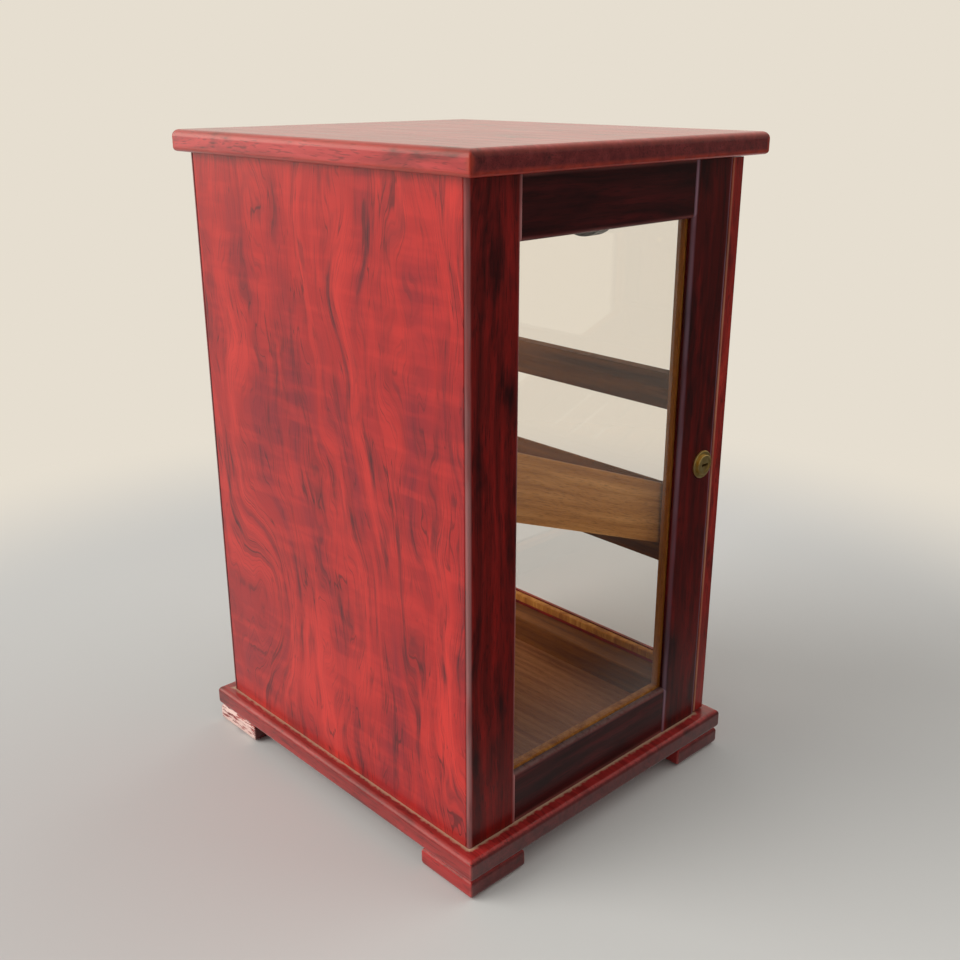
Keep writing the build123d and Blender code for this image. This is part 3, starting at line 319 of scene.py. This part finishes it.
def figured_veneer():
    """Figured veneer under satin lacquer: broad coral and plum bands, smoky flames and clouds, a few dark
    blots, thin dark growth lines that close into loops low down, and cross ripples painted paler as a
    painted shimmer."""
    material, tree, place = start("figured_rosewood_veneer")
    split = add(tree, "SeparateXYZ", {0: place}).node.outputs
    sway = fibres(tree, place, SWAY_WIDTH, SWAY_LENGTH)
    wave = fibres(tree, place, WAVE_WIDTH, WAVE_LENGTH)
    from_loop = add(tree, "VectorMath", {0: place, 1: LOOP_PLACE}, operation="SUBTRACT")
    from_loop = add(tree, "VectorMath", {0: from_loop, 1: LOOP_SIZE}, operation="DIVIDE")
    from_loop = add(tree, "VectorMath", {0: from_loop}, out="Value", operation="LENGTH")
    loop = add(tree, "MapRange", {0: from_loop, 1: 1.3, 2: 0.1, 4: LOOP_REACH}, **SMOOTH)
    lean = add(tree, "Math", {0: split[2], 1: -VENEER_LEAN, 2: split[0]}, operation="MULTIPLY_ADD")
    lean = add(tree, "Math", {0: sway, 1: SWAY_REACH, 2: lean}, operation="MULTIPLY_ADD")
    lean = add(tree, "Math", {0: wave, 1: WAVE_REACH, 2: lean}, operation="MULTIPLY_ADD")
    lean = add(tree, "Math", {0: lean, 1: loop}, operation="ADD")
    sheet = add(tree, "CombineXYZ", {0: lean, 1: 0.0, 2: split[2]})
    bands = fibres(tree, sheet, BAND_WIDTH, BAND_LENGTH)
    flames = fibres(tree, sheet, FLAME_WIDTH, FLAME_LENGTH, detail=4, roughness=0.6)
    clouds = fibres(tree, sheet, CLOUD_WIDTH, CLOUD_LENGTH, detail=4, roughness=0.6)
    blots = fibres(tree, sheet, BLOT_WIDTH, BLOT_LENGTH, detail=3)
    growth = fibres(tree, sheet, GROWTH_WIDTH, GROWTH_LENGTH, detail=3, roughness=0.45)
    threads = fibres(tree, sheet, THREAD_WIDTH, THREAD_LENGTH)
    ripple = fibres(tree, place, RIPPLE_WIDTH, RIPPLE_LENGTH)
    colour = add(tree, "ValToRGB", {0: bands}, stops=(
        (0.32, VENEER_PLUM), (0.68, VENEER_CORAL), (0.5, VENEER_RED),
    ))
    # Painted shimmer: cross ripples mixed towards pale coral.
    painted_shimmer = add(tree, "MapRange", {0: ripple, 1: 0.42, 2: 0.7, 4: 0.45}, **SMOOTH)
    colour = add(tree, "Mix", {0: painted_shimmer, 6: colour, 7: linear(VENEER_CORAL)}, **COLOURS)
    smoke = add(tree, "MapRange", {0: flames, 1: 0.45, 2: 0.72}, **SMOOTH)
    area = add(tree, "MapRange", {0: clouds, 1: 0.36, 2: 0.62, 3: 0.15, 4: 1.0}, **SMOOTH)
    smoke = add(tree, "Math", {0: smoke, 1: area}, operation="MULTIPLY")
    cloud = add(tree, "MapRange", {0: clouds, 1: 0.5, 2: 0.74, 4: 0.5}, **SMOOTH)
    smoke = add(tree, "Math", {0: smoke, 1: cloud}, operation="MAXIMUM")
    blot = add(tree, "MapRange", {0: blots, 1: 0.62, 2: 0.76, 4: 0.45}, **SMOOTH)
    smoke = add(tree, "Math", {0: smoke, 1: blot}, operation="MAXIMUM")
    colour = add(tree, "Mix", {0: smoke, 6: colour, 7: linear(VENEER_SMOKE)}, **COLOURS)
    ridge = add(tree, "Math", {0: growth, 1: GROWTH_LINES}, operation="MULTIPLY")
    ridge = add(tree, "Math", {0: ridge, 1: 0.5}, operation="PINGPONG")
    line = add(tree, "MapRange", {0: ridge, 1: 0.07, 2: 0.012}, **SMOOTH)
    broken = add(tree, "MapRange", {0: clouds, 1: 0.4, 2: 0.58, 3: 0.1, 4: 0.6}, **SMOOTH)
    line = add(tree, "Math", {0: line, 1: broken}, operation="MULTIPLY")
    colour = add(tree, "Mix", {0: line, 6: colour, 7: linear(VENEER_LINE)}, **COLOURS)
    thread = add(tree, "MapRange", {0: threads, 1: 0.5, 2: 0.7, 4: 0.35}, **SMOOTH)
    colour = add(tree, "Mix", {0: thread, 6: colour, 7: linear(VENEER_SMOKE)}, **COLOURS)
    gloss = add(tree, "MapRange", {0: flames, 1: 0.3, 2: 0.7, 3: SATIN_SMOOTHEST, 4: SATIN_ROUGHEST})
    bump = add(tree, "Bump", {"Height": threads, "Distance": THREAD_DEPTH, "Strength": 0.2})
    lacquer = add(tree, "BsdfPrincipled", {
        "Base Color": colour, "Roughness": gloss, "Normal": bump, "Specular IOR Level": WOOD_SPECULAR,
        "Coat Weight": VENEER_COAT, "Coat Roughness": VENEER_COAT_ROUGHNESS, "Coat IOR": LACQUER_IOR,
    })
    add(tree, "OutputMaterial", {"Surface": lacquer})
    return material


coat("back_panel", figured_veneer())

# Glass: panes of clear float glass, 3 mm thick, cut square with ground edges. They lie in rebates behind
# the lips of the side frames and of the door.
GLASS_IOR = 1.5
GLASS_TINT = "#FFFDFA"


def float_glass():
    """Clear float glass. It shows the room behind it, with faint reflections, and lets the lamps through."""
    material, tree = start("clear_float_glass")[:2]
    glass = add(tree, "BsdfPrincipled", {
        "Base Color": linear(GLASS_TINT), "Roughness": 0.0, "IOR": GLASS_IOR, "Transmission Weight": 1.0,
    })
    through = add(tree, "BsdfTransparent", {"Color": linear(GLASS_TINT)})
    lamp_ray = add(tree, "LightPath", {}, out="Is Shadow Ray")
    pane = add(tree, "MixShader", {0: lamp_ray, 1: glass, 2: through})
    add(tree, "OutputMaterial", {"Surface": pane})
    return material


clear_glass = float_glass()
for node in ("left_side_glass", "right_side_glass", "door_glass"):
    coat(node, clear_glass)

# Beads: strips of planed Spanish cedar with an eased edge, cut square at their ends. They are pinned behind
# the glass on all four sides of each window, and have a warmer, yellower tone than the other cedar.
CEDAR = ("#8C5426", "#CE9250", "#B0743A")
CEDAR_PORE = "#4E2C18"
CEDAR_BAND_WIDTH = 5.0
CEDAR_BAND_LENGTH = 160.0
CEDAR_DRIFT_WIDTH = 24.0
CEDAR_DRIFT_LENGTH = 90.0
CEDAR_DRIFT_REACH = 8.0
CEDAR_PORE_WIDTH = 0.5
CEDAR_PORE_LENGTH = 9.0
CEDAR_PORE_DEPTH = 0.0001
CEDAR_SPECULAR = 0.15


def cedar(name, grain, shift, tones=CEDAR, pore_share=0.45, lean=0.0):
    """Planed Spanish cedar without a finish: soft bands along the grain and fine brown pores, no gloss."""
    material, tree, place = start(name)
    wood = along_grain(tree, place, grain, shift, lean)
    drift = fibres(tree, wood, CEDAR_DRIFT_WIDTH, CEDAR_DRIFT_LENGTH)
    bend = add(tree, "VectorMath", {0: drift, "Scale": CEDAR_DRIFT_REACH}, operation="SCALE")
    wavy = add(tree, "VectorMath", {0: wood, 1: bend}, operation="ADD")
    bands = fibres(tree, wavy, CEDAR_BAND_WIDTH, CEDAR_BAND_LENGTH, detail=3)
    pores = fibres(tree, wavy, CEDAR_PORE_WIDTH, CEDAR_PORE_LENGTH)
    dark, pale, middle = tones
    colour = add(tree, "ValToRGB", {0: bands}, stops=((0.25, dark), (0.78, pale), (0.5, middle)))
    pore = add(tree, "MapRange", {0: pores, 1: 0.5, 2: 0.72, 4: pore_share}, **SMOOTH)
    colour = add(tree, "Mix", {0: pore, 6: colour, 7: linear(CEDAR_PORE)}, **COLOURS)
    gloss = add(tree, "MapRange", {0: pores, 1: 0.3, 2: 0.7, 3: 0.55, 4: 0.7})
    bump = add(tree, "Bump", {"Height": pores, "Distance": CEDAR_PORE_DEPTH, "Strength": 0.3})
    planed = add(tree, "BsdfPrincipled", {
        "Base Color": colour, "Roughness": gloss, "Normal": bump,
        "Specular IOR Level": CEDAR_SPECULAR,
    })
    add(tree, "OutputMaterial", {"Surface": planed})
    return material


BEAD_TONES = ("#9A5A22", "#DA9A48", "#BE7A32")
bead_cedar = cedar("bead_cedar", "Z", (0, 0, 0), tones=BEAD_TONES)
for node in ("left_side_beads", "right_side_beads", "door_beads"):
    coat(node, bead_cedar)

# Linings: thin boards of cedar inside the back, the floor and the ceiling, and the rail under the door,
# which is painted darker as painted shade. The floor is a little redder than the rest.
# This darker cedar is painted shade, for the boards that sit in shadow inside the cabinet.
SHADE_DARKENED_CEDAR = ("#5E3110", "#96591C", "#7A4414")
FLOOR_TONES = ("#8A4E2C", "#B87846", "#A06438")
coat("back_lining", cedar("back_lining_cedar", "Z", (50, 0, 0)))
coat("floor_lining", cedar("floor_lining_cedar", "X", (0, 60, 20), tones=FLOOR_TONES))
coat("ceiling_lining", cedar("ceiling_lining_cedar", "X", (90, 10, 0)))
coat("front_bottom_rail", cedar("front_rail_cedar", "X", (10, 120, 70), tones=SHADE_DARKENED_CEDAR))

# Tray rails: cedar bars across the cabinet, painted darker as painted shade. The front ones are glued
# between the sides and have a sloping ledge and a lip for the front of a tray. The rear ones are screwed on
# through the back lining.
for index, node in enumerate((
    "lower_front_tray_rail", "upper_front_tray_rail", "lower_rear_tray_rail", "upper_rear_tray_rail",
)):
    coat(node, cedar(f"{node}_cedar", "X", (35 * index, 80, 10 * index), tones=SHADE_DARKENED_CEDAR))

# Tray: planed cedar sides, grooved for a slotted bottom board, with front and back boards painted darker
# as painted shade. It is glued up square, stands on two of the rails with its front low, and lifts out.
TRAY_LEAN = math.radians(-21)
TRAY_CEDAR = ("#A0622C", "#DC9E58", "#C2823E")
coat("tray_left_side", cedar("tray_left_cedar", "Y", (0, 33, 0), tones=TRAY_CEDAR, lean=TRAY_LEAN))
coat("tray_right_side", cedar("tray_right_cedar", "Y", (77, 12, 0), tones=TRAY_CEDAR,
                              lean=TRAY_LEAN))
coat("tray_front", cedar("tray_front_cedar", "X", (15, 140, 0), tones=SHADE_DARKENED_CEDAR))
coat("tray_back", cedar("tray_back_cedar", "X", (15, 170, 0), tones=SHADE_DARKENED_CEDAR))
coat("tray_bottom", cedar("tray_bottom_cedar", "X", (15, 200, 0)))

# Dowels: fluted beech pegs, sawn to length and glued into the stiles, the slab and the base. Beech is paler
# than cedar and has finer pores.
BEECH = ("#C49C6C", "#E0BE90", "#D2AC7C")
coat("carcass_dowels", cedar("beech_pegs", "Z", (0, 0, 300), tones=BEECH, pore_share=0.2))

# Hinges, lock and small screws: turned or stamped brass, polished and lacquered. The lock's flange sits on
# the front stile and its nut behind it, and the hinges are screwed to the stiles of carcass and door.
SMEAR_SIZE = 6.0


def brass():
    """Polished brass gone soft with use: warm yellow, with reflections that fingers have smeared."""
    material, tree, place = start("polished_brass")
    smears = fibres(tree, place, SMEAR_SIZE, SMEAR_SIZE, detail=3)
    colour = add(tree, "ValToRGB", {0: smears}, stops=((0.3, "#E2BC6C"), (0.7, "#F4DC9A")))
    gloss = add(tree, "MapRange", {0: smears, 1: 0.3, 2: 0.7, 3: 0.3, 4: 0.46})
    metal = add(tree, "BsdfPrincipled", {"Base Color": colour, "Roughness": gloss, "Metallic": 1.0})
    add(tree, "OutputMaterial", {"Surface": metal})
    return material


polished_brass = brass()
for node in (
    "lock_housing", "lock_plug", "lock_nut", "tray_rail_screws", "carcass_hinge_screws",
    "door_hinge_screws", "door_fitting_screws", "lower_hinge_carcass_leaf", "lower_hinge_door_leaf",
    "lower_hinge_pin", "upper_hinge_carcass_leaf", "upper_hinge_door_leaf", "upper_hinge_pin",
):
    coat(node, polished_brass)

# Cam, keeper and foot screws: stamped or turned steel with bright zinc plating. The cam is screwed to the
# end of the lock's plug, and the keeper to the back of the door.
PLATING_CLOUD = 3.0


def zinc():
    """Zinc-plated steel: a cool grey, satin metal with faint clouds from the plating bath."""
    material, tree, place = start("zinc_plated_steel")
    clouds = fibres(tree, place, PLATING_CLOUD, PLATING_CLOUD, detail=3)
    colour = add(tree, "ValToRGB", {0: clouds}, stops=((0.3, "#8C8E90"), (0.7, "#B9BBBC")))
    gloss = add(tree, "MapRange", {0: clouds, 1: 0.3, 2: 0.7, 3: 0.3, 4: 0.45})
    metal = add(tree, "BsdfPrincipled", {"Base Color": colour, "Roughness": gloss, "Metallic": 1.0})
    add(tree, "OutputMaterial", {"Surface": metal})
    return material


zinc_steel = zinc()
for node in ("lock_cam", "lock_cam_screw", "lock_keeper", "foot_screws"):
    coat(node, zinc_steel)

# Humidifier: a cup and a slotted cover, moulded in black ABS, with a moist foam pad between them. A small
# screw holds the cup to the inside of the door, under its top rail.
SPARK_PIT = 0.6
SPARK_PIT_DEPTH = 0.00005
FOAM_CELL = 0.8
FOAM_CELL_DEPTH = 0.0004


def moulded_abs():
    """Black moulded ABS: near black with a soft sheen and a fine spark-eroded texture."""
    material, tree, place = start("black_moulded_abs")
    pits = fibres(tree, place, SPARK_PIT, SPARK_PIT)
    colour = add(tree, "ValToRGB", {0: pits}, stops=((0.3, "#1B1A1A"), (0.7, "#292725")))
    gloss = add(tree, "MapRange", {0: pits, 1: 0.3, 2: 0.7, 3: 0.4, 4: 0.55})
    bump = add(tree, "Bump", {"Height": pits, "Distance": SPARK_PIT_DEPTH, "Strength": 0.3})
    plastic = add(tree, "BsdfPrincipled", {"Base Color": colour, "Roughness": gloss, "Normal": bump})
    add(tree, "OutputMaterial", {"Surface": plastic})
    return material


black_abs = moulded_abs()
coat("humidifier_cup", black_abs)
coat("humidifier_cover", black_abs)


def foam():
    """Green phenolic foam: dull, crumbly, with open cells."""
    material, tree, place = start("green_phenolic_foam")
    cells = fibres(tree, place, FOAM_CELL, FOAM_CELL)
    colour = add(tree, "ValToRGB", {0: cells}, stops=((0.35, "#2E4632"), (0.65, "#4E6B4E")))
    gloss = add(tree, "MapRange", {0: cells, 1: 0.3, 2: 0.7, 3: 0.9, 4: 1.0})
    bump = add(tree, "Bump", {"Height": cells, "Distance": FOAM_CELL_DEPTH, "Strength": 0.6})
    block = add(tree, "BsdfPrincipled", {"Base Color": colour, "Roughness": gloss, "Normal": bump})
    add(tree, "OutputMaterial", {"Surface": block})
    return material


coat("humidifier_pad", foam())

# Door frame: two mahogany stiles and two rails, tenoned and glued, rounded on the router and hung on the
# hinges at the right. Its stain is redder than that of the side frames, and thin along the arrises, where
# a pale line is partly rubbed stain and partly a painted highlight.
DOOR_RED = ("#6A120C", "#A4261A", "#881A12")
# A pale line along the arrises: partly stain rubbed thin, partly a painted highlight.
LINE_RUB_AND_HIGHLIGHT = "#D79A78"
LINE_WIDTH = 1.6
for number, (member, grain) in enumerate((
    ("lock_stile", "Z"), ("hinge_stile", "Z"), ("top_rail", "X"), ("bottom_rail", "X"),
)):
    node = f"door_{member}"
    shift = (330 + 80 * number, 40 * number, 120 * number)
    coat(node, mahogany(f"{node}_mahogany", node, grain, shift, reds=DOOR_RED, cloud=0.3, rub_and_highlight=LINE_RUB_AND_HIGHLIGHT,
                        rub_and_highlight_width=LINE_WIDTH, rub_and_highlight_most=0.7, sheen=0.5, jointed=grain))

# Door seal: strips of pressed brown wool felt, cut to length and stuck to the back of the door, where they
# close its gap against the carcass.
FUZZ_SIZE = 0.5
FUZZ_DEPTH = 0.0002


def felt():
    """Pressed wool felt: matt, with a fuzz that softens its edges."""
    material, tree, place = start("brown_wool_felt")
    fuzz = fibres(tree, place, FUZZ_SIZE, FUZZ_SIZE, detail=3)
    colour = add(tree, "ValToRGB", {0: fuzz}, stops=((0.35, "#2A1D16"), (0.65, "#46332A")))
    gloss = add(tree, "MapRange", {0: fuzz, 1: 0.3, 2: 0.7, 3: 0.9, 4: 1.0})
    bump = add(tree, "Bump", {"Height": fuzz, "Distance": FUZZ_DEPTH, "Strength": 0.5})
    wool = add(tree, "BsdfPrincipled", {
        "Base Color": colour, "Roughness": gloss, "Normal": bump, "Sheen Weight": 0.4,
        "Specular IOR Level": 0.1,
    })
    add(tree, "OutputMaterial", {"Surface": wool})
    return material


coat("door_seal", felt())

# Studio: a pale floor that fades into a cream backdrop, soft light from a window to the camera's left and
# weaker light from the door's side. Gloss shows a bright room there, and a darker one on the lock's side.
FLOOR_SIZE = 40
FLOOR_GREY = "#CCCAC5"
BACKDROP = "#E6DED0"
FADE_START = 550.0
FADE_END = 950.0
AIR_LIGHT = 0.46
DARK_SIDE = 0.26
WINDOW_HEADING = (0.72, 0.69, 0.05)
WINDOW_GLOW = 2.2
DARK_FLOOR_START = -160.0
DARK_FLOOR_END = -330.0
DARK_FLOOR_SHARE = 0.92
DARK_HEADING = -0.6
LIGHT_HEADING = 0.25
WINDOW_EDGE = 0.7

bpy.ops.mesh.primitive_grid_add(x_subdivisions=1, y_subdivisions=1, size=FLOOR_SIZE)
floor = bpy.context.object
floor.name = "studio_floor"
material, tree, place = start("studio_floor_paint")
from_middle = add(tree, "VectorMath", {0: place}, out="Value", operation="LENGTH")
fade = add(tree, "MapRange", {0: from_middle, 1: FADE_START, 2: FADE_END}, **SMOOTH)
rays = add(tree, "LightPath", {}).node.outputs
seen = add(tree, "Math", {0: rays["Is Camera Ray"], 1: rays["Is Transmission Ray"]}, operation="MAXIMUM")
fade = add(tree, "Math", {0: fade, 1: seen}, operation="MULTIPLY")
away = add(tree, "SeparateXYZ", {0: place}).node.outputs[0]
dark_side = add(tree, "MapRange", {
    0: away, 1: DARK_FLOOR_START, 2: DARK_FLOOR_END, 4: DARK_FLOOR_SHARE,
}, **SMOOTH)
dark_side = add(tree, "Math", {0: dark_side, 1: rays["Is Glossy Ray"]}, operation="MULTIPLY")
grey = add(tree, "Mix", {0: dark_side, 6: linear(FLOOR_GREY), 7: linear("#000000")}, **COLOURS)
paint = add(tree, "BsdfPrincipled", {"Base Color": grey, "Roughness": 0.9, "Specular IOR Level": 0.2})
glow = add(tree, "Emission", {"Color": linear(BACKDROP), "Strength": 1.0})
floor_shader = add(tree, "MixShader", {0: fade, 1: paint, 2: glow})
add(tree, "OutputMaterial", {"Surface": floor_shader})
floor.data.materials.append(material)

world = bpy.data.worlds.new("studio_air")
bpy.context.scene.world = world
world.use_nodes = True
tree = world.node_tree
tree.nodes.clear()
rays = add(tree, "LightPath", {}).node.outputs
heading = add(tree, "TexCoord", {}, out="Generated")
side = add(tree, "SeparateXYZ", {0: heading}).node.outputs[0]
room = add(tree, "MapRange", {0: side, 1: DARK_HEADING, 2: LIGHT_HEADING, 3: DARK_SIDE, 4: 1.0}, **SMOOTH)
seen = add(tree, "Math", {0: rays["Is Camera Ray"], 1: rays["Is Transmission Ray"]}, operation="MAXIMUM")
window = add(tree, "VectorMath", {0: heading, 1: WINDOW_HEADING}, out="Value", operation="DOT_PRODUCT")
window = add(tree, "MapRange", {0: window, 1: WINDOW_EDGE, 2: 1.0, 4: WINDOW_GLOW}, **SMOOTH)
room = add(tree, "Math", {0: room, 1: window}, operation="ADD")
plain = add(tree, "Math", {0: 1.0, 1: seen}, operation="SUBTRACT")
room = add(tree, "Math", {0: room, 1: plain, 2: seen}, operation="MULTIPLY_ADD")
shown = add(tree, "Background", {"Color": linear(BACKDROP), "Strength": room})
soft = add(tree, "Background", {"Color": linear("#FFFFFF"), "Strength": AIR_LIGHT})
seen = add(tree, "Math", {0: seen, 1: rays["Is Glossy Ray"]}, operation="MAXIMUM")
air = add(tree, "MixShader", {0: seen, 1: soft, 2: shown})
add(tree, "OutputWorld", {"Surface": air})


def sunlight(name, towards, strength, spread):
    """Soft even light from one direction. Gloss shows the room instead of the lamp's round outline."""
    data = bpy.data.lights.new(name, "SUN")
    data.energy = strength
    data.angle = math.radians(spread)
    made = bpy.data.objects.new(name, data)
    made.rotation_euler = Vector(towards).to_track_quat("-Z", "Y").to_euler()
    made.visible_glossy = False
    bpy.context.scene.collection.objects.link(made)


sunlight("window_light", towards=(-0.45, -0.7, -0.5), strength=2.45, spread=50)
sunlight("door_side_light", towards=(0.25, 0.8, -0.55), strength=0.8, spread=70)

bpy.context.scene.view_settings.view_transform = "Standard"

# Camera: where the photographer stood, behind the cabinet on the lock's side, looking slightly down. Its
# place, heading, tilt and focal length bring the cabinet's corners where the photograph has them.
CAMERA_PLACE = (-0.63306, 0.58369, 0.54622)
CAMERA_HEADING = math.radians(-226.543)
CAMERA_TILT = math.radians(-19.87)
CAMERA_FOCAL_PIXELS = 1121.75
IMAGE_PIXELS = 960
SENSOR_WIDTH = 36.0
camera_data = bpy.data.cameras.new("camera")
camera_data.sensor_width = SENSOR_WIDTH
camera_data.lens = SENSOR_WIDTH * CAMERA_FOCAL_PIXELS / IMAGE_PIXELS
camera_data.clip_start = 0.01
camera = bpy.data.objects.new("camera", camera_data)
camera.location = CAMERA_PLACE
ahead = Vector((
    math.sin(CAMERA_HEADING) * math.cos(CAMERA_TILT),
    math.cos(CAMERA_HEADING) * math.cos(CAMERA_TILT),
    math.sin(CAMERA_TILT),
))
camera.rotation_euler = ahead.to_track_quat("-Z", "Y").to_euler()
bpy.context.scene.collection.objects.link(camera)
bpy.context.scene.camera = camera
